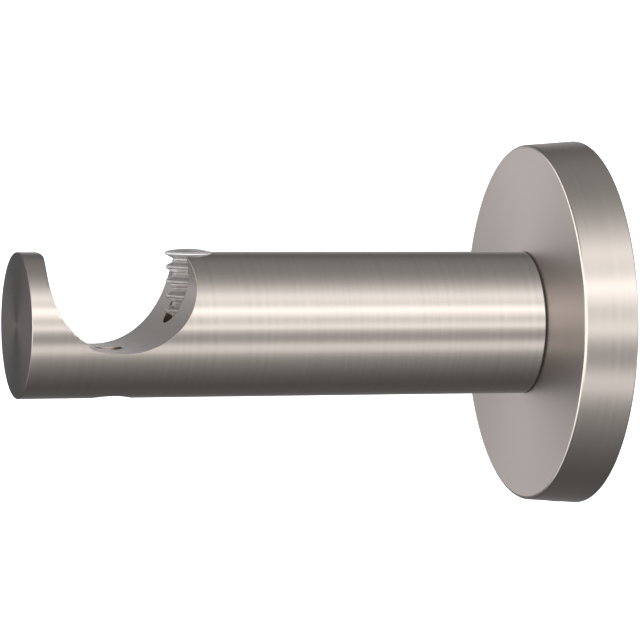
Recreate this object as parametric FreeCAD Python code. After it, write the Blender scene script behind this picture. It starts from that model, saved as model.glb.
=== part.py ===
import FreeCAD, Part
import math
import os

# Curtain pole bracket: a round bar arm stands out from a round wall rose, and a curtain pole
# drops into the seat scooped across the arm near its free end. A ribbed plastic plug in the
# seat's back wall grips the pole. The rose hides a wall plate, and a grub screw holds it there.
#
# Millimetres. The origin is the middle of the rose's back on the wall plane y = 0, +Z is up,
# the arm points away from the wall along -Y, and X runs along the pole.

# Support arm
arm_diameter = 20.0
arm_length = 73.0
arm_end_chamfer = 0.3
arm_root_chamfer = 0.4

# Pole seat across the arm
pole_diameter = 20.0
pole_room = 0.25
seat_lip = 2.7
seat_floor = 6.75
seat_edge_chamfer = 0.15

# Hole through the seat's floor, for a screw that holds the pole down, with a wider mouth below
floor_hole_diameter = 4.2
floor_hole_mouth_diameter = 6.1
floor_hole_mouth_depth = 2.5

# Pole plug, and the upright bore in the seat's back wall that it stands in
plug_bore_inset = 0.8
plug_rib_diameter = 6.1
plug_side_gap = 0.25
plug_bore_depth = 11.5
plug_head_diameter = 6.4
plug_head_crown = 0.5
plug_head_rim = 0.1
plug_head_cone = 0.75
plug_neck_diameter = 4.2
plug_proud = 0.45
plug_neck_length = 0.45
plug_rib_pitch = 2.0
plug_rib_flare = 0.5
plug_rib_rim = 0.4
plug_rib_taper = 0.6
plug_foot_length = 2.0

# Wall rose
rose_front_diameter = 50.0
rose_flare = 1.2
rose_depth = 7.5
rose_web = 2.7
rose_rim_wall = 2.6
rose_front_chamfer = 0.45
rose_back_chamfer = 0.2

# Arm screw, a low head cap screw from behind
arm_screw_diameter = 6.0
arm_screw_length = 16.0
arm_screw_head_diameter = 10.0
arm_screw_head_height = 4.0
arm_screw_head_chamfer = 0.5
arm_screw_socket_width = 4.0
arm_screw_socket_depth = 2.3
arm_screw_hole_room = 0.3
tapped_hole_extra_depth = 2.0
drill_point_degrees = 118.0
thread_gap = 0.05

# Wall plate inside the rose's mouth
plate_side_gap = 0.3
plate_to_web = 1.2
plate_edge_land = 0.3
plate_head_room = 1.5
wall_hole_from_edge = 7.7
wall_hole_diameter = 4.5
wall_head_diameter = 8.6

# Grub screw in the underside of the rose's rim, with a cone point
grub_diameter = 3.0
grub_length = 4.0
grub_tip_gap = 0.05
grub_tip_flat = 0.2
grub_socket_width = 1.5
grub_socket_depth = 1.3
grub_end_chamfer = 0.25

# Worked-out sizes and places
arm_radius = arm_diameter / 2
root_y = -rose_depth
free_end_y = root_y - arm_length
seat_radius = pole_diameter / 2 + pole_room
seat_y = free_end_y + seat_lip + seat_radius
seat_z = -arm_radius + seat_floor + seat_radius
plug_y = seat_y + seat_radius + plug_bore_inset
plug_bore_radius = plug_rib_diameter / 2 + plug_side_gap
plug_floor_z = arm_radius - plug_bore_depth
rose_front_radius = rose_front_diameter / 2
rose_back_radius = rose_front_radius + rose_flare / 2
recess_radius = rose_back_radius - rose_rim_wall
web_back_y = root_y + rose_web
plate_radius = recess_radius - plate_side_gap
plate_thickness = rose_depth - rose_web - plate_to_web
plate_front_y = -plate_thickness
plate_middle_y = plate_front_y / 2
plate_groove_depth = plate_thickness / 2 - plate_edge_land
wall_hole_spacing = 2 * (plate_radius - wall_hole_from_edge)
plate_middle_hole_radius = arm_screw_head_diameter / 2 + plate_head_room
hex_sides = 6
hex_corner_share = 1 / math.cos(math.pi / hex_sides)

along_x = FreeCAD.Vector(1, 0, 0)
to_wall = FreeCAD.Vector(0, 1, 0)
from_wall = FreeCAD.Vector(0, -1, 0)
up = FreeCAD.Vector(0, 0, 1)
down = FreeCAD.Vector(0, 0, -1)
origin = FreeCAD.Vector(0, 0, 0)
full_turn = 360
near = 1e-4


def turned(outline, start, axis):
    """Turn a closed outline of (radius, height) points, heights counted from start along axis."""
    points = [FreeCAD.Vector(radius, 0, height) for radius, height in outline]
    face = Part.Face(Part.makePolygon(points + [points[0]]))
    solid = face.revolve(origin, up, full_turn)
    solid.Placement = FreeCAD.Placement(start, FreeCAD.Rotation(up, axis))
    return solid


def round_bar(radius, length, start, axis):
    """Plain cylinder that runs from start along axis."""
    return Part.makeCylinder(radius, length, start, axis)


def hex_prism(width, length, start, axis):
    """Six-sided prism, width across its flats, that runs from start along axis."""
    corner_radius = width / 2 * hex_corner_share
    corners = [
        FreeCAD.Vector(corner_radius * math.cos(turn), corner_radius * math.sin(turn), 0)
        for turn in (2 * math.pi * side / hex_sides for side in range(hex_sides))
    ]
    prism = Part.Face(Part.makePolygon(corners + [corners[0]])).extrude(up * length)
    prism.Placement = FreeCAD.Placement(start, FreeCAD.Rotation(up, axis))
    return prism


def circle_edges(solid, radius, y):
    """Full circles of one radius round the arm's axis, in the plane at y."""
    return [
        edge
        for edge in solid.Edges
        if isinstance(edge.Curve, Part.Circle)
        and abs(edge.Curve.Radius - radius) < near
        and abs(edge.Curve.Center.y - y) < near
        and abs(edge.Curve.Axis.y) > 1 - near
    ]


def edges_between(solid, first, second):
    """Edges that a face of the first kind shares with a face of the second kind."""
    first_faces = [face for face in solid.Faces if first(face)]
    second_faces = [face for face in solid.Faces if second(face)]
    return [
        edge
        for edge in solid.Edges
        if any(edge.isSame(other) for face in first_faces for other in face.Edges)
        and any(edge.isSame(other) for face in second_faces for other in face.Edges)
    ]


def is_cylinder(radius, axis):
    """Test for a cylindrical face of one radius along one axis."""

    def test(face):
        surface = face.Surface
        return (
            isinstance(surface, Part.Cylinder)
            and abs(surface.Radius - radius) < near
            and abs(surface.Axis.dot(axis)) > 1 - near
        )

    return test


def make_arm():
    """Bar with its edges broken, scooped seat, plug bore, floor hole and tapped root."""
    arm = round_bar(arm_radius, arm_length, FreeCAD.Vector(0, root_y, 0), from_wall)
    arm = arm.makeChamfer(arm_end_chamfer, circle_edges(arm, arm_radius, free_end_y))
    arm = arm.makeChamfer(arm_root_chamfer, circle_edges(arm, arm_radius, root_y))
    seat_start = FreeCAD.Vector(-arm_diameter, seat_y, seat_z)
    arm = arm.cut(round_bar(seat_radius, 2 * arm_diameter, seat_start, along_x))
    seat_edges = edges_between(
        arm, is_cylinder(seat_radius, along_x), is_cylinder(arm_radius, to_wall)
    )
    arm = arm.makeChamfer(seat_edge_chamfer, seat_edges)
    plug_bore = round_bar(
        plug_bore_radius, arm_diameter, FreeCAD.Vector(0, plug_y, plug_floor_z), up
    )
    floor_hole = round_bar(
        floor_hole_diameter / 2, arm_diameter, FreeCAD.Vector(0, seat_y, seat_z), down
    )
    mouth_start = FreeCAD.Vector(0, seat_y, -arm_radius + floor_hole_mouth_depth)
    floor_mouth = round_bar(floor_hole_mouth_diameter / 2, arm_diameter, mouth_start, down)
    arm = arm.cut(plug_bore).cut(floor_hole).cut(floor_mouth)
    return arm.cut(make_tapped_hole())


def make_tapped_hole():
    """Blind hole in the arm's root with a drill point, its thread left plain."""
    radius = arm_screw_diameter / 2 + thread_gap
    depth = arm_screw_length - rose_web + tapped_hole_extra_depth
    point = radius / math.tan(math.radians(drill_point_degrees / 2))
    outline = [(0, 0), (radius, 0), (radius, depth), (0, depth + point)]
    return turned(outline, FreeCAD.Vector(0, root_y, 0), from_wall)


def make_plug():
    """Ribbed push-in plug: a thin head with a low crown, a neck, ribs and a plain foot."""
    head_radius = plug_head_diameter / 2
    neck_radius = plug_neck_diameter / 2
    rib_radius = plug_rib_diameter / 2
    top = arm_radius + plug_proud
    rim_bottom = top - plug_head_crown - plug_head_rim
    outline = [(0, top), (head_radius, top), (head_radius, rim_bottom)]
    outline += [(neck_radius, rim_bottom - plug_head_cone)]
    first_flare = rim_bottom - plug_head_cone - plug_neck_length
    rib_room = first_flare - plug_floor_z - plug_foot_length
    for rib in range(int(rib_room / plug_rib_pitch)):
        flare_top = first_flare - rib * plug_rib_pitch
        rib_top = flare_top - plug_rib_flare
        rib_bottom = rib_top - plug_rib_rim
        outline += [(neck_radius, flare_top), (rib_radius, rib_top)]
        outline += [(rib_radius, rib_bottom), (neck_radius, rib_bottom - plug_rib_taper)]
    outline += [(neck_radius, plug_floor_z), (0, plug_floor_z)]
    plug = turned(outline, FreeCAD.Vector(0, plug_y, 0), up)
    crown_radius = (head_radius**2 + plug_head_crown**2) / (2 * plug_head_crown)
    crown_middle = FreeCAD.Vector(0, plug_y, top - crown_radius)
    return plug.common(Part.makeSphere(crown_radius, crown_middle))


def make_rose():
    """Drafted cup, open to the wall, with the arm screw's hole and the grub screw's hole."""
    outline = [(0, 0), (rose_front_radius, 0), (rose_back_radius, rose_depth)]
    outline += [(recess_radius, rose_depth), (recess_radius, rose_web), (0, rose_web)]
    rose = turned(outline, FreeCAD.Vector(0, root_y, 0), to_wall)
    rose = rose.makeChamfer(rose_front_chamfer, circle_edges(rose, rose_front_radius, root_y))
    rose = rose.makeChamfer(rose_back_chamfer, circle_edges(rose, rose_back_radius, 0))
    screw_hole = round_bar(
        arm_screw_diameter / 2 + arm_screw_hole_room,
        rose_depth,
        FreeCAD.Vector(0, root_y, 0),
        to_wall,
    )
    grub_hole = round_bar(
        grub_diameter / 2 + thread_gap,
        rose_rim_wall * 2,
        FreeCAD.Vector(0, plate_middle_y, -recess_radius + rose_rim_wall / 2),
        down,
    )
    return rose.cut(screw_hole).cut(grub_hole)


def make_arm_screw():
    """Low head cap screw with a six-sided socket, its thread left plain."""
    head_radius = arm_screw_head_diameter / 2
    shank_radius = arm_screw_diameter / 2
    outline = [(0, -arm_screw_head_height)]
    outline += [(head_radius - arm_screw_head_chamfer, -arm_screw_head_height)]
    outline += [(head_radius, -arm_screw_head_height + arm_screw_head_chamfer)]
    outline += [(head_radius, 0), (shank_radius, 0)]
    outline += [(shank_radius, arm_screw_length), (0, arm_screw_length)]
    screw = turned(outline, FreeCAD.Vector(0, web_back_y, 0), from_wall)
    socket_start = FreeCAD.Vector(0, web_back_y + arm_screw_head_height, 0)
    socket = hex_prism(arm_screw_socket_width, arm_screw_socket_depth, socket_start, from_wall)
    return screw.cut(socket)


def make_wall_plate():
    """Round plate with a V groove in its edge and countersunk holes for two wall screws."""
    outline = [(plate_middle_hole_radius, 0), (plate_radius, 0)]
    outline += [(plate_radius, plate_edge_land)]
    outline += [(plate_radius - plate_groove_depth, plate_thickness / 2)]
    outline += [(plate_radius, plate_thickness - plate_edge_land)]
    outline += [(plate_radius, plate_thickness), (plate_middle_hole_radius, plate_thickness)]
    plate = turned(outline, FreeCAD.Vector(0, plate_front_y, 0), to_wall)
    hole_radius = wall_hole_diameter / 2
    head_radius = wall_head_diameter / 2
    countersink = [(0, 0), (head_radius, 0), (hole_radius, head_radius - hole_radius)]
    countersink += [(hole_radius, plate_thickness), (0, plate_thickness)]
    for side in (-1, 1):
        place = FreeCAD.Vector(0, plate_front_y, side * wall_hole_spacing / 2)
        plate = plate.cut(turned(countersink, place, to_wall))
    return plate


def make_grub_screw():
    """Cone point grub screw, its point in the plate's groove and its socket facing down."""
    radius = grub_diameter / 2
    tip_z = -(plate_radius - plate_groove_depth) - grub_tip_flat - grub_tip_gap
    cone = radius - grub_tip_flat
    outline = [(0, 0), (grub_tip_flat, 0), (radius, cone)]
    outline += [(radius, grub_length - grub_end_chamfer)]
    outline += [(radius - grub_end_chamfer, grub_length), (0, grub_length)]
    grub = turned(outline, FreeCAD.Vector(0, plate_middle_y, tip_z), down)
    socket_start = FreeCAD.Vector(0, plate_middle_y, tip_z - grub_length)
    return grub.cut(hex_prism(grub_socket_width, grub_socket_depth, socket_start, up))


pieces = {
    "support_arm": make_arm(),
    "wall_rose": make_rose(),
    "pole_plug": make_plug(),
    "arm_screw": make_arm_screw(),
    "wall_plate": make_wall_plate(),
    "rose_grub_screw": make_grub_screw(),
}

os.makedirs("parts", exist_ok=True)
for name, shape in pieces.items():
    shape.exportStep(f"parts/{name}.step")
    print(name, "valid", shape.isValid(), "solids", len(shape.Solids), "mm3", round(shape.Volume, 1))
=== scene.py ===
import logging
import math
from collections.abc import Callable
from dataclasses import dataclass
from enum import Enum

import bpy
from mathutils import Matrix, Vector


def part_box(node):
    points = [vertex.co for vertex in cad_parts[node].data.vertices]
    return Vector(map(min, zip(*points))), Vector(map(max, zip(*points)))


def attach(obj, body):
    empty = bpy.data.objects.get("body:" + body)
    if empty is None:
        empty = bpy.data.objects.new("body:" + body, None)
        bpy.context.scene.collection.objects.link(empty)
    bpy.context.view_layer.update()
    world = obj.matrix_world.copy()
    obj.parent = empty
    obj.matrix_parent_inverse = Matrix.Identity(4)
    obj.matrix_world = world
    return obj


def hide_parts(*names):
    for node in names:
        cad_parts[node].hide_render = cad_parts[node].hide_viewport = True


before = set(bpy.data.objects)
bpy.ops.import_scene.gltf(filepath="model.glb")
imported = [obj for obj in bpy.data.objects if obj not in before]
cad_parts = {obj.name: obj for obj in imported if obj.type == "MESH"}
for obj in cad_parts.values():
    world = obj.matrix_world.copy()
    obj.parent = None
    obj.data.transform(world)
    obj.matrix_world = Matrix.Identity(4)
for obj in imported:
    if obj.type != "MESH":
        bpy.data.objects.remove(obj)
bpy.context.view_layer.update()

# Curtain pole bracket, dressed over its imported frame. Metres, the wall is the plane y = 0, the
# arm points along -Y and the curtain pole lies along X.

MM = 0.001
BODY = "root"
SHARP_EDGE = math.radians(30)

# Middle of the view, on the arm's axis
AIM = Vector((0.0, -0.040, 0.0))

# Places this close are one place; a tip keeps a tiny ring until its doubles are merged
NEAR = 1e-6
NEAR_RING = 1e-5
TIP_RADIUS = 1e-7

# Place of a noise's middle value, and the places of a colour Mix node's sockets
NOISE_MIDDLE = 0.5
MIX_SHARE, MIX_FIRST, MIX_SECOND, MIX_RESULT = 0, 6, 7, 2

Outline = list[tuple[float, float]]
EdgeTest = Callable[[Vector, Vector], bool]
FaceTest = Callable[[Vector, Vector], bool]
log = logging.getLogger("bracket")

# Light of the room by the angle round the arm's axis, in degrees from +X upward, on a scale whose
# top is FULL_LIGHT. The barrel mirrors these as bands along the arm: the floor, a low strip, a
# wide main light and the ceiling.
FULL_LIGHT = 2.0
WARM_WHITE = (1.0, 0.99, 0.995)
ROOM_LIGHT = [
    (-180, 0.36),
    (-168, 0.22),
    (-142, 0.12),
    (-110, 0.10),
    (-90, 0.14),
    (-77, 0.19),
    (-64, 0.27),
    (-54, 0.36),
    (-46, 0.54),
    (-38, 0.94),
    (-31, 0.98),
    (-23, 0.50),
    (-15, 0.44),
    (-8, 0.68),
    (-1, 1.36),
    (5, 1.05),
    (11, 0.90),
    (18, 1.34),
    (26, 1.82),
    (35, 1.04),
    (47, 1.29),
    (57, 0.96),
    (67, 0.64),
    (79, 0.43),
    (93, 0.315),
    (107, 0.28),
    (122, 0.245),
    (148, 0.13),
    (165, 0.34),
    (180, 0.62),
]

# Bright card on the free end's side. It fades in by the Y part of the direction to it, from its
# start to full, and fades out below and above by the Z part.
CARD_LIGHT = 1.85
CARD_START = -0.40
CARD_FULL = -0.64
CARD_LOW = -0.70
CARD_LOW_FULL = -0.15
CARD_HIGH_FULL = 0.30
CARD_HIGH = 0.50


class Lay(Enum):
    """Which way the fine lines of a brushed or turned surface run."""

    ROUND_BAR = "round the arm's axis"
    TURNED_FACE = "in rings on a face square to the arm's axis"
    ALONG_POLE = "along the pole"
    ROUND_HOLE = "round an upright drilled hole"


class Wire:
    """A socket of a material's nodes, with sums written as plain Python."""

    def __init__(self, tree: bpy.types.NodeTree, socket: bpy.types.NodeSocket) -> None:
        """Holds one output socket and the tree that it belongs to."""
        self.tree = tree
        self.socket = socket

    def _sum(self, operation: str, first: "Wire | float", second: "Wire | float") -> "Wire":
        """Adds one Math node.

        Args:
            operation: the Math node's operation.
            first: left-hand value or wire.
            second: right-hand value or wire.

        Returns:
            The wire that carries the result.
        """
        node = self.tree.nodes.new("ShaderNodeMath")
        node.operation = operation
        for socket, value in zip(node.inputs, (first, second)):
            connect(self.tree, socket, value)
        return Wire(self.tree, node.outputs[0])

    def __add__(self, other: "Wire | float") -> "Wire":
        """This wire plus another value."""
        return self._sum("ADD", self, other)

    def __sub__(self, other: "Wire | float") -> "Wire":
        """This wire less another value."""
        return self._sum("SUBTRACT", self, other)

    def __rsub__(self, other: "Wire | float") -> "Wire":
        """Another value less this wire."""
        return self._sum("SUBTRACT", other, self)

    def __mul__(self, other: "Wire | float") -> "Wire":
        """This wire times another value."""
        return self._sum("MULTIPLY", self, other)

    def __pow__(self, other: "Wire | float") -> "Wire":
        """This wire raised to a power."""
        return self._sum("POWER", self, other)

    def turn_from(self, other: "Wire") -> "Wire":
        """Angle whose rise is this wire and whose run is the other, in radians."""
        return self._sum("ARCTAN2", self, other)

    __radd__ = __add__
    __rmul__ = __mul__


def connect(
    tree: bpy.types.NodeTree, socket: bpy.types.NodeSocket, value: "Wire | float | tuple"
) -> None:
    """Links a wire to an input socket, or sets the socket's own value.

    Args:
        tree: node tree that holds the socket.
        socket: the input to feed.
        value: a wire to link, or a number or tuple to set.
    """
    if isinstance(value, Wire):
        tree.links.new(value.socket, socket)
    else:
        socket.default_value = value


class NodeBoard:
    """The node tree of one material or world, cleared, with one way to add a node."""

    def __init__(self, tree: bpy.types.NodeTree) -> None:
        """Clears the tree and keeps it."""
        self.tree = tree
        tree.nodes.clear()

    def node(self, kind: str, settings: dict, sockets: dict, output: int | str = 0) -> Wire:
        """Adds a node of any type.

        Args:
            kind: Blender's name of the node's type.
            settings: what is set first; "stops" holds a ramp's (place, colour) pairs.
            sockets: values or wires by the input's name or index.
            output: which output to return.

        Returns:
            The wire of the chosen output.
        """
        made = self.tree.nodes.new(kind)
        for name, value in settings.items():
            if name == "stops":
                self._set_stops(made.color_ramp, value)
            else:
                setattr(made, name, value)
        for name, value in sockets.items():
            connect(self.tree, made.inputs[name], value)
        return Wire(self.tree, made.outputs[output])

    def split(self, vector: Wire) -> list[Wire]:
        """The three parts of a vector."""
        first = self.node("ShaderNodeSeparateXYZ", {}, {"Vector": vector}, "X")
        return [Wire(self.tree, socket) for socket in first.socket.node.outputs]

    def fade(self, value: Wire, dark: float, full: float) -> Wire:
        """Soft step between two values.

        Args:
            value: the wire to step on.
            dark: its value where the step is 0.
            full: its value where the step is 1.

        Returns:
            The wire of the step.
        """
        return self.node(
            "ShaderNodeMapRange",
            {"interpolation_type": "SMOOTHSTEP"},
            {"Value": value, "From Min": dark, "From Max": full},
        )

    def blend(
        self, share: Wire | float, first: Wire | tuple, second: Wire | tuple, way: str = "MIX"
    ) -> Wire:
        """Blends two colours.

        Args:
            share: how much of the second colour takes effect.
            first: the colour below.
            second: the colour above.
            way: the Mix node's way of blending.

        Returns:
            The wire of the blended colour.
        """
        return self.node(
            "ShaderNodeMix",
            {"data_type": "RGBA", "blend_type": way},
            {MIX_SHARE: share, MIX_FIRST: first, MIX_SECOND: second},
            MIX_RESULT,
        )

    def noise(self, place: Wire, scale: float, detail: float) -> Wire:
        """Noise texture at a scale in the given coordinates."""
        sockets = {"Vector": place, "Scale": scale, "Detail": detail}
        return self.node("ShaderNodeTexNoise", {}, sockets)

    def bump(self, height: Wire, distance: float) -> Wire:
        """Normals of a fine relief, at its full strength."""
        sockets = {"Strength": 1.0, "Distance": distance, "Height": height}
        return self.node("ShaderNodeBump", {}, sockets)

    def grey(self, value: Wire) -> Wire:
        """The same number in all three channels of a colour."""
        return self.node("ShaderNodeCombineColor", {}, {0: value, 1: value, 2: value})

    @staticmethod
    def _set_stops(ramp: bpy.types.ColorRamp, stops: list[tuple[float, tuple]]) -> None:
        """Writes a ramp's stops.

        Args:
            ramp: the node's colour ramp.
            stops: (place, colour) pairs in rising order.
        """
        while len(ramp.elements) < len(stops):
            ramp.elements.new(1.0)
        for element, (place, colour) in zip(ramp.elements, stops):
            element.position = place
            element.color = (*colour, 1.0)

    def output(self, kind: str, shader: Wire) -> None:
        """Feeds a shader to the tree's output node."""
        made = self.tree.nodes.new(kind)
        self.tree.links.new(shader.socket, made.inputs["Surface"])


@dataclass(frozen=True)
class MetalFinish:
    """A bare or plated metal surface with fine tool lines.

    The lines are a fine relief. The broader streaks among them, the clouds and the painted
    reflection fans change the tone by their shares of it, and the streaks change the roughness
    too.
    """

    name: str
    tone: tuple[float, float, float]
    roughness: float
    lay: Lay
    lines_per_mm: float = 9.0
    line_reach: float = 0.12
    line_slope: float = 0.12
    line_detail: float = 3.0
    streak_scale: float = 0.16
    streak_share: float = 0.06
    clouds_per_mm: float = 0.09
    cloud_share: float = 0.05
    soft_detail: float = 2.0
    roughness_share: float = 0.25
    # Share of painted reflection: the fans of a turned face's reflection, painted into the tone
    painted_fan_share: float = 0.0
    edge_tint: float = 1.0

    def material(self) -> bpy.types.Material:
        """Builds the node material.

        Returns:
            The material, ready to assign.
        """
        made = bpy.data.materials.new(self.name)
        made.use_nodes = True
        board = NodeBoard(made.node_tree)
        place = board.node("ShaderNodeTexCoord", {}, {}, "Object")
        along = self._tool_line_place(board, place)
        lines = board.noise(along, 1.0, self.line_detail)
        streaks = board.noise(along, self.streak_scale, self.soft_detail) - NOISE_MIDDLE
        clouds = board.noise(place, self.clouds_per_mm / MM, self.soft_detail) - NOISE_MIDDLE
        shade = 1.0 + streaks * (2 * self.streak_share) + clouds * self.cloud_share
        # Painted reflection: the fans of a turned face's reflection are painted into its tone
        if self.painted_fan_share:
            shade = shade + self._fan(board, place) * self.painted_fan_share
        colour = board.blend(1.0, (*self.tone, 1.0), board.grey(shade), "MULTIPLY")
        rough = self.roughness * (1.0 + streaks * (2 * self.roughness_share))
        bump = board.bump(lines, self.line_slope / self.lines_per_mm * MM)
        shader = board.node(
            "ShaderNodeBsdfPrincipled",
            {},
            {
                "Base Color": colour,
                "Metallic": 1.0,
                "Roughness": rough,
                "Specular Tint": (*[self.edge_tint] * 3, 1.0),
                "Normal": bump,
            },
        )
        board.output("ShaderNodeOutputMaterial", shader)
        return made

    def _tool_line_place(self, board: NodeBoard, place: Wire) -> Wire:
        """Stretches the surface's coordinates so that a noise turns into tool lines.

        Args:
            board: node board of the material.
            place: object coordinates.

        Returns:
            Coordinates that change fast across the lines and slowly along them.
        """
        slow = self.line_reach / MM
        fast = self.lines_per_mm / MM
        if self.lay is Lay.TURNED_FACE:
            x, _, z = board.split(place)
            radius = (x * x + z * z) ** 0.5
            return board.node(
                "ShaderNodeCombineXYZ", {}, {"X": x * slow, "Y": radius * fast, "Z": z * slow}
            )
        scale = {
            Lay.ROUND_BAR: (slow, fast, slow),
            Lay.ALONG_POLE: (slow, fast, fast),
            Lay.ROUND_HOLE: (slow, slow, fast),
        }[self.lay]
        return board.node("ShaderNodeMapping", {}, {"Vector": place, "Scale": scale})

    @staticmethod
    def _fan(board: NodeBoard, place: Wire) -> Wire:
        """Painted reflection fans of a turned face: the soft bright and dark fans of its
        reflection, painted into the tone.

        Args:
            board: node board of the material.
            place: object coordinates.

        Returns:
            1 to the left and right of the face's middle, and -1 above and below it.
        """
        x, _, z = board.split(place)
        angle = z.turn_from(x) * 2.0
        return board.node("ShaderNodeMath", {"operation": "COSINE"}, {0: angle})


@dataclass(frozen=True)
class PlasticFinish:
    """Clear-grey moulded plastic, slightly clouded by the mould's grain."""

    name: str
    tone: tuple[float, float, float]
    roughness: float
    transmission: float
    refraction: float = 1.46
    grains_per_mm: float = 1.5
    grain_detail: float = 3.0
    grain_depth: float = 0.01 * MM
    roughness_share: float = 0.2

    def material(self) -> bpy.types.Material:
        """Builds the node material.

        Returns:
            The material, ready to assign.
        """
        made = bpy.data.materials.new(self.name)
        made.use_nodes = True
        board = NodeBoard(made.node_tree)
        place = board.node("ShaderNodeTexCoord", {}, {}, "Object")
        grain = board.noise(place, self.grains_per_mm / MM, self.grain_detail)
        bump = board.bump(grain, self.grain_depth)
        rough = self.roughness * (1.0 + (grain - NOISE_MIDDLE) * (2 * self.roughness_share))
        shader = board.node(
            "ShaderNodeBsdfPrincipled",
            {},
            {
                "Base Color": (*self.tone, 1.0),
                "Roughness": rough,
                "IOR": self.refraction,
                "Transmission Weight": self.transmission,
                "Normal": bump,
            },
        )
        board.output("ShaderNodeOutputMaterial", shader)
        return made


@dataclass(frozen=True)
class FloorPaint:
    """Pale matt paint that glows a little, so that the floor stays even."""

    name: str = "pale_floor"
    tone: float = 0.85
    roughness: float = 0.9
    glow: float = 0.85

    def material(self) -> bpy.types.Material:
        """Builds the node material.

        Returns:
            The material, ready to assign.
        """
        made = bpy.data.materials.new(self.name)
        made.use_nodes = True
        board = NodeBoard(made.node_tree)
        shader = board.node(
            "ShaderNodeBsdfPrincipled",
            {},
            {
                "Base Color": (*[self.tone] * 3, 1.0),
                "Roughness": self.roughness,
                "Emission Color": (1.0, 1.0, 1.0, 1.0),
                "Emission Strength": self.glow,
            },
        )
        board.output("ShaderNodeOutputMaterial", shader)
        return made


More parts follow.
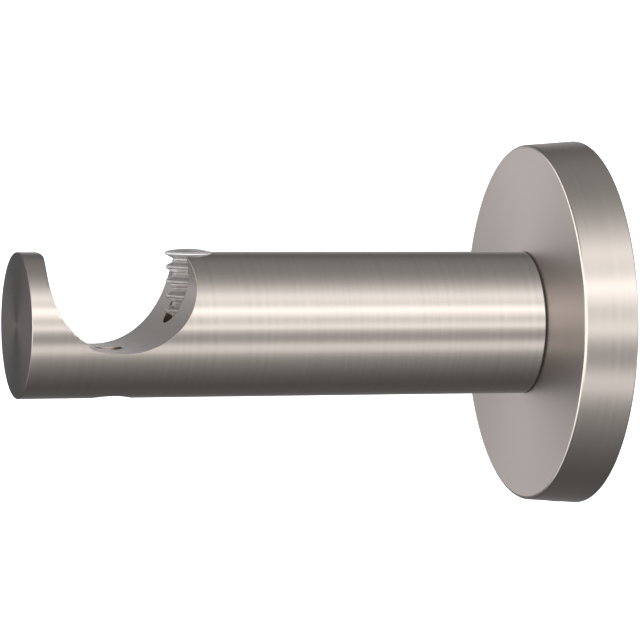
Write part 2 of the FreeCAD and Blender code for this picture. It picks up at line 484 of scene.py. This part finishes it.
class Bench:
    """Hand operations on meshes, each an operator call on a clean selection."""

    @staticmethod
    def take(piece: bpy.types.Object) -> None:
        """Makes one piece the only selected and active object.

        Args:
            piece: the piece to take.
        """
        bpy.ops.object.select_all(action="DESELECT")
        piece.select_set(True)
        bpy.context.view_layer.objects.active = piece

    @staticmethod
    def settle(piece: bpy.types.Object) -> None:
        """Moves a piece's place, turn and scale into its mesh."""
        Bench.take(piece)
        bpy.ops.object.transform_apply(location=True, rotation=True, scale=True)

    @staticmethod
    def bar(name: str, radius: float, start: Vector, end: Vector, sides: int) -> bpy.types.Object:
        """Round bar between two points.

        Args:
            name: name of the object.
            radius: radius of the bar.
            start: middle of the first end.
            end: middle of the other end.
            sides: number of sides.

        Returns:
            The bar, with its place in its mesh.
        """
        bpy.ops.object.select_all(action="DESELECT")
        axis = end - start
        bpy.ops.mesh.primitive_cylinder_add(
            vertices=sides,
            radius=radius,
            depth=axis.length,
            location=(start + end) / 2,
            rotation=axis.to_track_quat("Z", "Y").to_euler(),
        )
        piece = bpy.context.object
        piece.name = piece.data.name = name
        Bench.settle(piece)
        return piece

    @staticmethod
    def turned(
        name: str, outline: Outline, start: Vector, axis: Vector, sides: int
    ) -> bpy.types.Object:
        """Turned piece, grown ring by ring from a disc.

        Args:
            name: name of the object.
            outline: (radius, height) points from one end to the other, first radius above zero.
            start: where height zero lies.
            axis: direction of growing height.
            sides: number of sides round the piece.

        Returns:
            The closed piece, with its place in its mesh.
        """
        bpy.ops.object.select_all(action="DESELECT")
        radius, height = outline[0]
        bpy.ops.mesh.primitive_circle_add(
            vertices=sides, radius=radius, fill_type="NGON", location=(0, 0, height)
        )
        piece = bpy.context.object
        piece.name = piece.data.name = name
        Bench.settle(piece)
        bpy.ops.object.mode_set(mode="EDIT")
        bpy.ops.mesh.select_all(action="SELECT")
        for outline_radius, next_height in outline[1:]:
            next_radius = max(outline_radius, TIP_RADIUS)
            bpy.ops.mesh.extrude_region_move(
                TRANSFORM_OT_translate={"value": (0, 0, next_height - height)}
            )
            Bench.widen(next_radius / radius, next_height)
            radius, height = next_radius, next_height
        bpy.ops.mesh.select_all(action="SELECT")
        bpy.ops.mesh.remove_doubles(threshold=NEAR)
        bpy.ops.mesh.normals_make_consistent(inside=False)
        bpy.ops.object.mode_set(mode="OBJECT")
        piece.location = start
        piece.rotation_euler = axis.to_track_quat("Z", "Y").to_euler()
        Bench.settle(piece)
        return piece

    @staticmethod
    def widen(share: float, height: float) -> None:
        """Scales what is selected in edit mode about the upright axis, at its height."""
        bpy.ops.transform.resize(value=(share, share, 1), center_override=(0, 0, height))

    @staticmethod
    def cut(piece: bpy.types.Object, *tools: bpy.types.Object) -> None:
        """Cuts tools out of a piece and throws the tools away.

        Args:
            piece: the piece to cut.
            tools: the cutters, in order.
        """
        for tool in tools:
            Bench.take(piece)
            modifier = piece.modifiers.new("cut", "BOOLEAN")
            modifier.operation = "DIFFERENCE"
            modifier.solver = "EXACT"
            modifier.object = tool
            bpy.ops.object.modifier_apply(modifier=modifier.name)
            bpy.data.objects.remove(tool)

    @staticmethod
    def pick_edges(piece: bpy.types.Object, chosen: EdgeTest) -> None:
        """Selects the edges that pass a test, and stays in edit mode.

        Args:
            piece: the piece whose edges are picked.
            chosen: test on an edge's two ends.
        """
        mesh = piece.data
        Bench.take(piece)
        mesh.polygons.foreach_set("select", [False] * len(mesh.polygons))
        mesh.vertices.foreach_set("select", [False] * len(mesh.vertices))
        places = [vertex.co for vertex in mesh.vertices]
        picked = [chosen(*(places[end] for end in edge.vertices)) for edge in mesh.edges]
        mesh.edges.foreach_set("select", picked)
        bpy.context.tool_settings.mesh_select_mode = (False, True, False)
        bpy.ops.object.mode_set(mode="EDIT")

    @staticmethod
    def round_edges(
        piece: bpy.types.Object, radius: float, chosen: EdgeTest, segments: int = 5
    ) -> None:
        """Rounds the edges that pass a test.

        Args:
            piece: the piece to round.
            radius: radius of the round.
            chosen: test on an edge's two ends.
            segments: number of faces across the round.
        """
        Bench.pick_edges(piece, chosen)
        bpy.ops.mesh.bevel(
            offset=radius,
            offset_type="OFFSET",
            segments=segments,
            affect="EDGES",
            clamp_overlap=False,
        )
        bpy.ops.object.mode_set(mode="OBJECT")

    @staticmethod
    def break_sharp_edges(piece: bpy.types.Object, width: float, segments: int = 2) -> None:
        """Puts a small round on every edge that is still sharp.

        Args:
            piece: the piece to finish.
            width: how far the round reaches from the edge.
            segments: number of faces across the round.
        """
        Bench.take(piece)
        modifier = piece.modifiers.new("broken_edges", "BEVEL")
        modifier.width = width
        modifier.segments = segments
        modifier.limit_method = "ANGLE"
        modifier.angle_limit = SHARP_EDGE
        modifier.loop_slide = False
        modifier.use_clamp_overlap = False
        bpy.ops.object.modifier_apply(modifier=modifier.name)

    @staticmethod
    def smooth(piece: bpy.types.Object) -> None:
        """Shades a piece smooth, with normals that lean to its largest faces.

        Args:
            piece: the piece to shade.
        """
        Bench.take(piece)
        bpy.ops.object.shade_smooth_by_angle(angle=SHARP_EDGE)
        modifier = piece.modifiers.new("even_normals", "WEIGHTED_NORMAL")
        modifier.keep_sharp = True
        bpy.ops.object.modifier_apply(modifier=modifier.name)

    @staticmethod
    def dress(
        piece: bpy.types.Object, material: bpy.types.Material, chosen: FaceTest | None = None
    ) -> None:
        """Gives a material to a piece, or to its faces that pass a test.

        Args:
            piece: the piece to dress.
            material: the material to assign.
            chosen: test on a face's middle and normal; without it, the whole piece is dressed.
        """
        piece.data.materials.append(material)
        slot = len(piece.data.materials) - 1
        for face in piece.data.polygons:
            if chosen is None or chosen(face.center, face.normal):
                face.material_index = slot


@dataclass
class SupportArm:
    """Round bar with a scooped pole seat, a half-open plug bore and a floor hole.

    The last sizes choose faces for a finish: a turn is how far a face has to point along the arm,
    a lean how far it may point off its wall, and near how far off that wall its middle may lie.
    """

    nickel: bpy.types.Material
    end_face: bpy.types.Material
    seat_face: bpy.types.Material
    drilled: bpy.types.Material
    painted_root_shadow: bpy.types.Material
    diameter: float = 20.0 * MM
    end_round: float = 0.12 * MM
    root_round: float = 0.4 * MM
    edge_round: float = 0.045 * MM
    lip_round: float = 0.45 * MM
    seat_radius: float = 10.25 * MM
    seat_lip: float = 2.7 * MM
    seat_floor: float = 6.75 * MM
    floor_hole_diameter: float = 4.2 * MM
    mouth_diameter: float = 6.1 * MM
    mouth_depth: float = 2.5 * MM
    bore_diameter: float = 6.6 * MM
    bore_depth: float = 11.5 * MM
    bore_inset: float = 0.8 * MM
    tapped_diameter: float = 6.1 * MM
    tapped_depth: float = 15.3 * MM
    tap_overlap: float = 1.0 * MM
    drill_point: float = math.radians(118)
    ringed_length: float = 9.0 * MM
    ring_pitch: float = 0.7 * MM
    sides: int = 288
    lip_sides: int = 96
    hole_sides: int = 144
    tap_sides: int = 72
    end_turn: float = 0.5
    root_turn: float = 0.35
    seat_near: float = 0.02 * MM
    seat_lean: float = 0.05
    hole_near: float = 0.01 * MM
    hole_lean: float = 0.1

    def __post_init__(self) -> None:
        """Works out places from the frame's box and the sizes."""
        low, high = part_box("support_arm")
        self.free_end = low.y
        self.root = high.y
        self.seat_y = self.free_end + self.seat_lip + self.seat_radius
        self.seat_z = -self.diameter / 2 + self.seat_floor + self.seat_radius
        self.bore_y = self.seat_y + self.seat_radius + self.bore_inset

    def build(self) -> bpy.types.Object:
        """Models and dresses the arm.

        Returns:
            The finished piece.
        """
        radius = self.diameter / 2
        length = self.root - self.free_end
        # Rings over the lip keep its cut faces short, so that its shading stays even
        rings = int(self.ringed_length / self.ring_pitch)
        outline = [(radius, number * self.ring_pitch) for number in range(rings)]
        outline.append((radius, length))
        arm = Bench.turned(
            "arm_bar", outline, Vector((0, self.free_end, 0)), Vector((0, 1, 0)), self.sides
        )
        Bench.round_edges(arm, self.end_round, self._on_plane(self.free_end))
        Bench.round_edges(arm, self.root_round, self._on_plane(self.root))
        Bench.cut(
            arm,
            self._seat_tool(),
            self._lip_tool(),
            self._bore_tool(),
            *self._floor_tools(),
            self._tap_tool(),
        )
        Bench.break_sharp_edges(arm, self.edge_round)
        Bench.smooth(arm)
        self._dress(arm)
        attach(arm, BODY)
        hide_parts("support_arm")
        return arm

    @staticmethod
    def _on_plane(y: float) -> EdgeTest:
        """Test for edges that lie in one plane across the arm."""
        return lambda first, second: abs(first.y - y) < NEAR and abs(second.y - y) < NEAR

    def _seat_tool(self) -> bpy.types.Object:
        """Models the cutter of the pole seat.

        Returns:
            The cutter.
        """
        reach = self.diameter
        start = Vector((-reach, self.seat_y, self.seat_z))
        end = Vector((reach, self.seat_y, self.seat_z))
        return Bench.bar("seat_tool", self.seat_radius, start, end, self.sides)

    def _lip_tool(self) -> bpy.types.Object:
        """Models the cutter that rounds the lip's top where it meets the seat.

        Returns:
            The cutter: a block over the corner, less the round that has to stay.
        """
        top = self.diameter / 2
        round_z = top - self.lip_round
        reach = self.seat_radius + self.lip_round
        lean = math.asin((round_z - self.seat_z) / reach)
        round_y = self.seat_y - reach * math.cos(lean)
        low_z = self.seat_z + self.seat_radius * math.sin(lean)
        high_z = top + self.lip_round
        bpy.ops.object.select_all(action="DESELECT")
        bpy.ops.mesh.primitive_cube_add(
            size=1.0,
            location=(0, round_y + self.lip_round, (low_z + high_z) / 2),
            scale=(self.diameter, 2 * self.lip_round, high_z - low_z),
        )
        tool = bpy.context.object
        Bench.settle(tool)
        start = Vector((-self.diameter, round_y, round_z))
        end = Vector((self.diameter, round_y, round_z))
        Bench.cut(tool, Bench.bar("lip_round_tool", self.lip_round, start, end, self.lip_sides))
        return tool

    def _bore_tool(self) -> bpy.types.Object:
        """Models the cutter of the plug's upright bore.

        Returns:
            The cutter.
        """
        start = Vector((0, self.bore_y, self.diameter / 2 - self.bore_depth))
        end = Vector((0, self.bore_y, self.diameter))
        return Bench.bar("bore_tool", self.bore_diameter / 2, start, end, self.hole_sides)

    def _floor_tools(self) -> tuple[bpy.types.Object, bpy.types.Object]:
        """Models the cutters of the hole through the seat's floor.

        Returns:
            The cutter of the hole and that of its wider mouth below.
        """
        end = Vector((0, self.seat_y, -self.diameter))
        start = Vector((0, self.seat_y, self.seat_z))
        mouth = Vector((0, self.seat_y, -self.diameter / 2 + self.mouth_depth))
        return (
            Bench.bar("floor_tool", self.floor_hole_diameter / 2, start, end, self.hole_sides),
            Bench.bar("mouth_tool", self.mouth_diameter / 2, mouth, end, self.hole_sides),
        )

    def _tap_tool(self) -> bpy.types.Object:
        """Models the cutter of the blind hole in the root, with its drill point.

        Returns:
            The cutter.
        """
        radius = self.tapped_diameter / 2
        tip = self.tapped_depth + radius / math.tan(self.drill_point / 2)
        outline = [(radius, -self.tap_overlap), (radius, self.tapped_depth), (0.0, tip)]
        start = Vector((0, self.root, 0))
        return Bench.turned("tap_tool", outline, start, Vector((0, -1, 0)), self.tap_sides)

    def _dress(self, arm: bpy.types.Object) -> None:
        """Brushed barrel, turned end face, milled seat, drilled holes and a painted shadow on the
        round at the root.

        Args:
            arm: the finished piece.
        """

        def on_end(middle: Vector, normal: Vector) -> bool:
            """Test for the flat of the free end and the outer half of its round."""
            return normal.y < -self.end_turn and middle.y < self.free_end + self.end_round

        def on_seat(middle: Vector, normal: Vector) -> bool:
            """Test for the seat's scooped wall."""
            gap = math.hypot(middle.y - self.seat_y, middle.z - self.seat_z) - self.seat_radius
            return abs(gap) < self.seat_near and abs(normal.x) < self.seat_lean

        def on_root(middle: Vector, normal: Vector) -> bool:
            """Test for the small round at the root, where it turns in to the rose and takes a
            painted shadow.
            """
            return normal.y > self.root_turn and middle.y > self.root - self.root_round

        def in_hole(middle: Vector, normal: Vector) -> bool:
            """Test for the walls of the upright holes."""
            floor_gap = math.hypot(middle.x, middle.y - self.seat_y) - self.mouth_diameter / 2
            bore_gap = math.hypot(middle.x, middle.y - self.bore_y) - self.bore_diameter / 2
            return (floor_gap < self.hole_near or bore_gap < 0) and abs(normal.z) < self.hole_lean

        Bench.dress(arm, self.nickel)
        Bench.dress(arm, self.end_face, on_end)
        Bench.dress(arm, self.seat_face, on_seat)
        Bench.dress(arm, self.drilled, in_hole)
        # Painted shadow: the round at the root takes a dark nickel that stands in for the shadow
        # against the rose
        Bench.dress(arm, self.painted_root_shadow, on_root)


@dataclass
class WallRose:
    """Turned cup that hides the wall plate, with a rounded front edge and a slight draft."""

    rim: bpy.types.Material
    front_face: bpy.types.Material
    front_radius: float = 25.0 * MM
    web: float = 2.7 * MM
    rim_wall: float = 2.6 * MM
    front_round: float = 0.45 * MM
    back_round: float = 0.2 * MM
    edge_round: float = 0.1 * MM
    screw_hole_diameter: float = 6.6 * MM
    grub_hole_diameter: float = 3.1 * MM
    grub_y: float = -1.8 * MM
    sides: int = 360
    front_segments: int = 6
    back_segments: int = 3
    screw_hole_sides: int = 96
    grub_hole_sides: int = 64
    face_turn: float = 0.999

    def build(self) -> bpy.types.Object:
        """Models and dresses the rose.

        Returns:
            The finished piece.
        """
        low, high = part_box("wall_rose")
        front, back = low.y, high.y
        back_radius = high.x
        recess_radius = back_radius - self.rim_wall
        depth = back - front
        outline = [
            (self.front_radius, 0.0),
            (back_radius, depth),
            (recess_radius, depth),
            (recess_radius, self.web),
        ]
        rose = Bench.turned(
            "rose_cup", outline, Vector((0, front, 0)), Vector((0, 1, 0)), self.sides
        )
        front_ring = self._ring(self.front_radius, front)
        Bench.round_edges(rose, self.front_round, front_ring, self.front_segments)
        back_ring = self._ring(back_radius, back)
        Bench.round_edges(rose, self.back_round, back_ring, self.back_segments)
        hole = Bench.bar(
            "hole_tool",
            self.screw_hole_diameter / 2,
            Vector((0, 0, 0)),
            Vector((0, 2 * front, 0)),
            self.screw_hole_sides,
        )
        grub = Bench.bar(
            "grub_tool",
            self.grub_hole_diameter / 2,
            Vector((0, self.grub_y, -recess_radius + self.rim_wall)),
            Vector((0, self.grub_y, -back_radius - self.rim_wall)),
            self.grub_hole_sides,
        )
        Bench.cut(rose, hole, grub)
        Bench.break_sharp_edges(rose, self.edge_round)
        Bench.smooth(rose)
        Bench.dress(rose, self.rim)
        Bench.dress(rose, self.front_face, lambda middle, normal: normal.y < -self.face_turn)
        # The brushing round the bar smears the rose out of the bar's reflections
        rose.visible_glossy = False
        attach(rose, BODY)
        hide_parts("wall_rose")
        return rose

    @staticmethod
    def _ring(radius: float, y: float) -> EdgeTest:
        """Makes a test for the edges of one ring of the cup.

        Args:
            radius: radius of the ring.
            y: the ring's place along the arm's axis.

        Returns:
            The test on an edge's two ends.
        """

        def on_ring(point: Vector) -> bool:
            """Whether a point lies on the ring."""
            off = math.hypot(point.x, point.z) - radius
            return abs(point.y - y) < NEAR and abs(off) < NEAR_RING

        return lambda first, second: on_ring(first) and on_ring(second)


@dataclass
class PolePlug:
    """Ribbed push-in plug: crowned head, neck, soft saw-tooth ribs and a plain foot."""

    plastic: bpy.types.Material
    y: float
    floor_z: float
    head_diameter: float = 6.4 * MM
    head_crown: float = 0.38 * MM
    head_rim: float = 0.42 * MM
    head_cone: float = 0.55 * MM
    neck_diameter: float = 4.2 * MM
    neck_length: float = 0.45 * MM
    rib_diameter: float = 6.1 * MM
    rib_pitch: float = 2.0 * MM
    rib_flare: float = 0.5 * MM
    rib_rim: float = 0.4 * MM
    rib_taper: float = 0.6 * MM
    ribs: int = 4
    edge_round: float = 0.14 * MM
    crown_rings: int = 8
    sides: int = 96

    def build(self) -> bpy.types.Object:
        """Models and dresses the plug, from its head down.

        Returns:
            The finished piece.
        """
        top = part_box("pole_plug")[1].z
        head = self.head_diameter / 2
        neck = self.neck_diameter / 2
        rib = self.rib_diameter / 2
        rings = self.crown_rings
        outline = [
            (head * ring / rings, self.head_crown * (ring / rings) ** 2)
            for ring in range(1, rings + 1)
        ]
        depth = self.head_crown + self.head_rim
        outline.append((head, depth))
        depth += self.head_cone
        outline.append((neck, depth))
        depth += self.neck_length
        for number in range(self.ribs):
            flare = depth + number * self.rib_pitch
            rim = flare + self.rib_flare
            outline += [(neck, flare), (rib, rim), (rib, rim + self.rib_rim)]
            outline.append((neck, rim + self.rib_rim + self.rib_taper))
        outline.append((neck, top - self.floor_z))
        start = Vector((0, self.y, top))
        plug = Bench.turned("ribbed_plug", outline, start, Vector((0, 0, -1)), self.sides)
        Bench.break_sharp_edges(plug, self.edge_round)
        Bench.smooth(plug)
        Bench.dress(plug, self.plastic)
        # The real seat is dark beside the plug and doesn't mirror it
        plug.visible_glossy = False
        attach(plug, BODY)
        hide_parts("pole_plug")
        return plug


@dataclass
class Studio:
    """Pale floor that curves up into a backdrop, the light of the room and the camera."""

    floor_drop: float = 0.12
    floor_radius: float = 2.2
    floor_sides: int = 128
    cove_radius: float = 1.6
    cove_steps: int = 12
    focal_px: float = 3883.2
    image_px: int = 640
    sensor: float = 36.0
    nearest: float = 0.05
    farthest: float = 50.0
    yaw: float = math.radians(16.825)
    elevation: float = math.radians(4.045)
    roll: float = math.radians(0.842)
    distance: float = 0.5389
    shift_right: float = 0.002459
    shift_up: float = 0.000506

    def build(self) -> None:
        """Sets up everything around the bracket."""
        self._floor()
        self._world()
        self._camera()
        bpy.context.scene.view_settings.view_transform = "Standard"

    def _floor(self) -> None:
        """Round pale floor with a coved edge, kept out of the metal's reflections."""
        bpy.ops.object.select_all(action="DESELECT")
        bpy.ops.mesh.primitive_circle_add(
            vertices=self.floor_sides,
            radius=self.floor_radius,
            fill_type="NGON",
            location=(0, 0, -self.floor_drop),
        )
        floor = bpy.context.object
        floor.name = floor.data.name = "floor"
        bpy.ops.object.mode_set(mode="EDIT")
        bpy.context.tool_settings.mesh_select_mode = (False, True, False)
        bpy.ops.mesh.select_all(action="SELECT")
        bpy.ops.mesh.region_to_loop()
        radius, height = self.floor_radius, -self.floor_drop
        for step in range(1, self.cove_steps + 1):
            turn = math.pi / 2 * step / self.cove_steps
            next_radius = self.floor_radius + self.cove_radius * math.sin(turn)
            next_height = -self.floor_drop + self.cove_radius * (1 - math.cos(turn))
            bpy.ops.mesh.extrude_edges_move(
                TRANSFORM_OT_translate={"value": (0, 0, next_height - height)}
            )
            Bench.widen(next_radius / radius, next_height)
            radius, height = next_radius, next_height
        bpy.ops.object.mode_set(mode="OBJECT")
        Bench.settle(floor)
        bpy.ops.object.shade_smooth_by_angle(angle=SHARP_EDGE)
        Bench.dress(floor, FloorPaint().material())
        floor.visible_glossy = False
        floor.visible_shadow = False

    @staticmethod
    def _world() -> None:
        """Room of light bands that run along the arm, with a bright card before its free end."""
        world = bpy.data.worlds.new("room")
        world.use_nodes = True
        board = NodeBoard(world.node_tree)
        way = board.node("ShaderNodeTexCoord", {}, {}, "Generated")
        x, y, z = board.split(way)
        # The angle round the arm as a place on the ramp, 0 at -180 degrees and 1 at 180
        turn = z.turn_from(x) * (0.5 / math.pi) + 0.5
        stops = [
            (0.5 + angle / 360, tuple(radiance / FULL_LIGHT * tint for tint in WARM_WHITE))
            for angle, radiance in ROOM_LIGHT
        ]
        bands = board.node("ShaderNodeValToRGB", {"stops": stops}, {0: turn})
        ahead = board.fade(y, CARD_START, CARD_FULL)
        level = board.fade(z, CARD_LOW, CARD_LOW_FULL) * board.fade(z, CARD_HIGH, CARD_HIGH_FULL)
        card = (*[CARD_LIGHT / FULL_LIGHT] * 3, 1.0)
        shade = board.blend(ahead * level, bands, card)
        shader = board.node("ShaderNodeBackground", {}, {"Color": shade, "Strength": FULL_LIGHT})
        board.output("ShaderNodeOutputWorld", shader)
        bpy.context.scene.world = world

    def _camera(self) -> None:
        """Long-lens camera at the photograph's angle, turned and shifted to its frame."""
        data = bpy.data.cameras.new("photo_camera")
        data.sensor_width = self.sensor
        data.lens = self.focal_px * self.sensor / self.image_px
        data.clip_start = self.nearest
        data.clip_end = self.farthest
        camera = bpy.data.objects.new("photo_camera", data)
        bpy.context.scene.collection.objects.link(camera)
        level = math.cos(self.elevation)
        ahead = Vector(
            (-math.cos(self.yaw) * level, math.sin(self.yaw) * level, -math.sin(self.elevation))
        )
        flat_right = Vector((math.sin(self.yaw), math.cos(self.yaw), 0.0))
        flat_up = flat_right.cross(ahead)
        right = math.cos(self.roll) * flat_right + math.sin(self.roll) * flat_up
        up = math.cos(self.roll) * flat_up - math.sin(self.roll) * flat_right
        camera.location = (
            AIM - ahead * self.distance + right * self.shift_right + up * self.shift_up
        )
        camera.rotation_euler = Matrix((right, up, -ahead)).transposed().to_euler()
        bpy.context.scene.camera = camera


def dress_frame_nodes(zinc: bpy.types.Material, stainless: bpy.types.Material) -> None:
    """Finishes the frame's own fasteners and plate, kept out of reflections as the rose is.

    Args:
        zinc: finish of the arm screw and the wall plate.
        stainless: finish of the grub screw.
    """
    finishes = {"arm_screw": zinc, "wall_plate": zinc, "rose_grub_screw": stainless}
    for name, material in finishes.items():
        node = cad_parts[name]
        node.data.materials.clear()
        node.data.materials.append(material)
        node.visible_glossy = False


def report(name: str, piece: bpy.types.Object) -> None:
    """Logs a finished piece and its number of faces."""
    log.info("%s: %d faces", name, len(piece.data.polygons))


def main() -> None:
    """Builds the bracket's pieces in order, then the studio."""
    logging.basicConfig(level=logging.INFO, format="%(name)s: %(message)s")
    nickel_tone = (0.66, 0.605, 0.55)
    barrel = MetalFinish(
        "nickel_barrel", nickel_tone, 0.15, Lay.ROUND_BAR, line_slope=0.22, streak_share=0.07
    ).material()
    rim = MetalFinish(
        "nickel_rim", nickel_tone, 0.19, Lay.ROUND_BAR, line_slope=0.22, streak_share=0.05
    ).material()
    turned_face = MetalFinish(
        "nickel_turned_face",
        (0.47, 0.424, 0.404),
        0.38,
        Lay.TURNED_FACE,
        line_slope=0.02,
        streak_share=0.015,
        cloud_share=0.08,
        roughness_share=0.04,
        # Painted reflection: the face is brighter above and below its middle
        painted_fan_share=-0.13,
    ).material()
    end_face = MetalFinish(
        "nickel_end_face",
        (0.41, 0.377, 0.361),
        0.18,
        Lay.TURNED_FACE,
        # Painted reflection: the end face is lighter left and right of its middle and darker
        # above and below it
        painted_fan_share=0.29,
        edge_tint=0.49,
    ).material()
    drilled = MetalFinish(
        "nickel_drilled", (0.42, 0.35, 0.31), 0.36, Lay.ROUND_HOLE, lines_per_mm=5.0
    ).material()
    seat_face = MetalFinish("nickel_seat", (0.455, 0.407, 0.378), 0.19, Lay.ALONG_POLE).material()
    # Painted shadow: dark nickel for the round at the root, standing in for the shadow where the
    # arm meets the rose
    painted_root_shadow = MetalFinish("nickel_root_painted_shadow", (0.16, 0.14, 0.13), 0.5, Lay.ROUND_BAR).material()
    zinc = MetalFinish(
        "zinc_plate",
        (0.62, 0.63, 0.65),
        0.28,
        Lay.TURNED_FACE,
        lines_per_mm=4.0,
        line_slope=0.05,
        streak_share=0.03,
        roughness_share=0.1,
    ).material()
    stainless = MetalFinish(
        "stainless", (0.55, 0.55, 0.55), 0.3, Lay.TURNED_FACE, lines_per_mm=4.0
    ).material()
    plastic = PlasticFinish(
        "clear_grey_plastic", (0.80, 0.79, 0.79), roughness=0.17, transmission=0.82
    ).material()

    arm = SupportArm(barrel, end_face, seat_face, drilled, painted_root_shadow)
    report("arm", arm.build())
    report("rose", WallRose(rim, turned_face).build())
    bore_floor = arm.diameter / 2 - arm.bore_depth
    report("plug", PolePlug(plastic, arm.bore_y, bore_floor).build())
    dress_frame_nodes(zinc, stainless)
    Studio().build()


if __name__ == "__main__":
    main()
